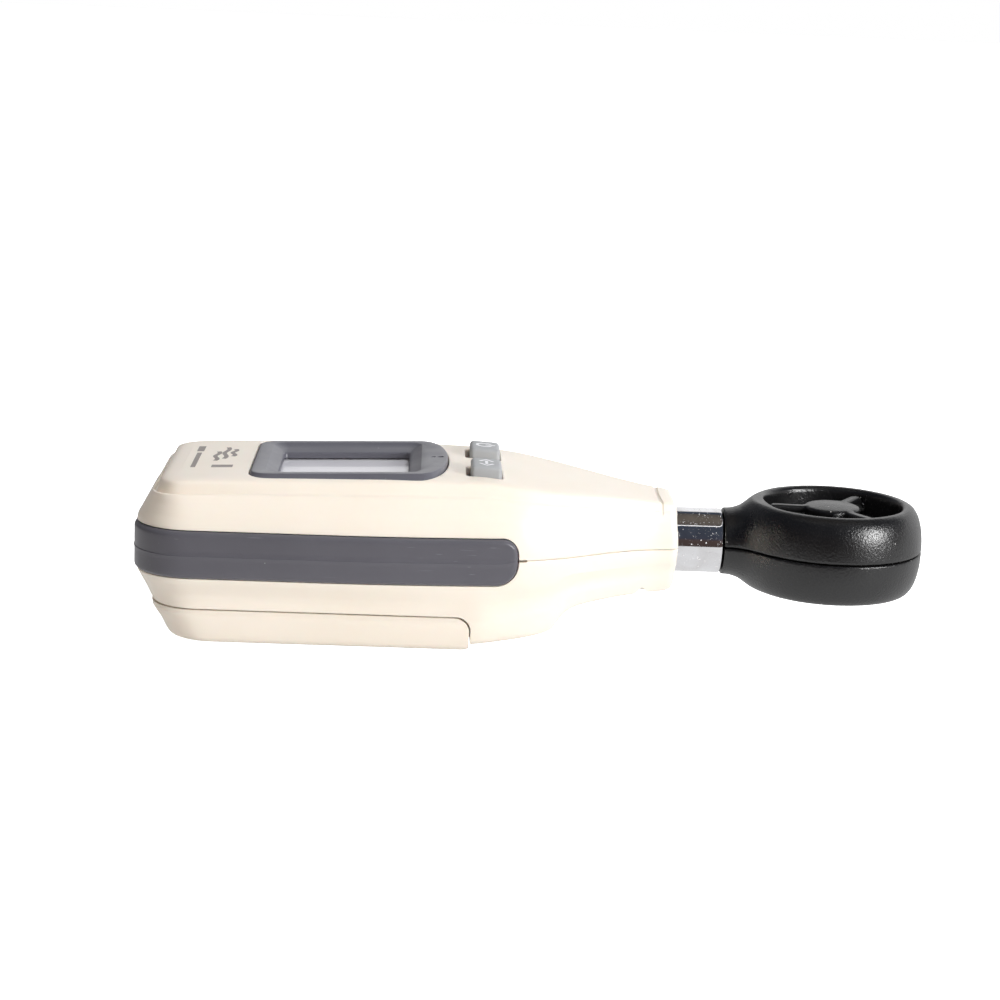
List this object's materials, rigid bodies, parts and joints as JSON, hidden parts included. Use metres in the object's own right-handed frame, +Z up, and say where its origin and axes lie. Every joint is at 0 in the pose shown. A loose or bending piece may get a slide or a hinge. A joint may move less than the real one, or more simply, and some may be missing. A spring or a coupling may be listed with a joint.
{
  "type": "vane anemometer",
  "caption": "Handheld wind meter: cream case with display and keys, bumper band, and a guarded impeller in a ring head on a turning neck tube.",
  "frame": {"origin": "middle of the overall box on the surface the meter lies on, display up", "axes": "+X from the case's tail to the ring head, +Y across towards the power key, +Z up out of the display"},
  "size_m": [0.1658, 0.056, 0.0373],
  "materials": {
    "cream_plastic": "fine matt moulding, warm cream",
    "dark_grey_plastic": "satin, dark bluish grey",
    "mid_grey_plastic": "satin, mid grey",
    "key_grey_rubber": "soft matt grey",
    "black_plastic": "satin black, fine grain",
    "clear_window": "smooth, pale lilac grey display behind",
    "display_glass": "smooth",
    "white_plastic": "white",
    "board_green": "solder mask green",
    "dark_rubber": "black",
    "nickel_steel": "nickel plated",
    "bright_chrome": "polished, with small pits",
    "natural_nylon": "natural",
    "battery_sleeve": "printed film, blank",
    "dark_magnet": "dark",
    "ruby_jewel": "clear red"
  },
  "bodies": {
    "case": {"front_shell": "cream_plastic", "rear_shell": "cream_plastic", "bumper_band": "dark_grey_plastic", "lcd_bezel": "mid_grey_plastic", "lcd_window": "clear_window", "lcd_cell": "display_glass", "backlight_panel": "white_plastic", "zebra_strip": "dark_rubber", "key_switch_mode": "nickel_steel", "key_switch_power": "nickel_steel", "main_board": "board_green", "controller_chip": "dark_rubber", "lead_socket": "white_plastic", "neck_bush": "natural_nylon", "negative_tab": "nickel_steel", "link_plate_tail": "nickel_steel", "link_plate_head": "nickel_steel", "positive_tab": "nickel_steel", "case_screw_1": "nickel_steel", "board_screw_1": "nickel_steel", "case_screw_2": "nickel_steel", "board_screw_2": "nickel_steel", "case_screw_3": "nickel_steel", "board_screw_3": "nickel_steel", "case_screw_4": "nickel_steel", "board_screw_4": "nickel_steel", "battery_1": "battery_sleeve", "battery_spring_1": "nickel_steel", "battery_2": "battery_sleeve", "battery_spring_2": "nickel_steel", "battery_3": "battery_sleeve", "battery_spring_3": "nickel_steel"},
    "head": {"neck_tube": "bright_chrome", "retaining_ring": "nickel_steel", "head_lead": "dark_rubber", "head_upper_shell": "black_plastic", "head_lower_shell": "black_plastic", "jewel_bearing_upper": "ruby_jewel", "jewel_bearing_lower": "ruby_jewel", "hall_sensor": "dark_rubber", "sensor_board": "board_green", "sensor_lead": "dark_rubber"},
    "vane": {"impeller": "black_plastic", "impeller_magnet": "dark_magnet", "impeller_axle": "nickel_steel"},
    "mode_key": {"mode_key": "key_grey_rubber"},
    "power_key": {"power_key": "key_grey_rubber"},
    "battery_cover": {"battery_cover": "cream_plastic"}
  },
  "joints": [
    {"name": "head_swivel", "type": "hinge", "parent": "case", "child": "head", "pos_m": [0.02998, 0, 0.02], "axis": [1, 0, 0], "range_deg": [-90, 90]},
    {"name": "vane_spin", "type": "hinge", "parent": "head", "child": "vane", "pos_m": [0.06343, 0, 0.02], "axis": [0, 0, 1], "continuous": true},
    {"name": "mode_key_press", "type": "slide", "parent": "case", "child": "mode_key", "axis": [0, 0, -1], "range_m": [0, 0.0006], "stiffness_N_per_m": 800},
    {"name": "power_key_press", "type": "slide", "parent": "case", "child": "power_key", "axis": [0, 0, -1], "range_m": [0, 0.0006], "stiffness_N_per_m": 800},
    {"name": "battery_cover_slide", "type": "slide", "parent": "case", "child": "battery_cover", "axis": [-1, 0, 0], "range_m": [0, 0.075]}
  ]
}
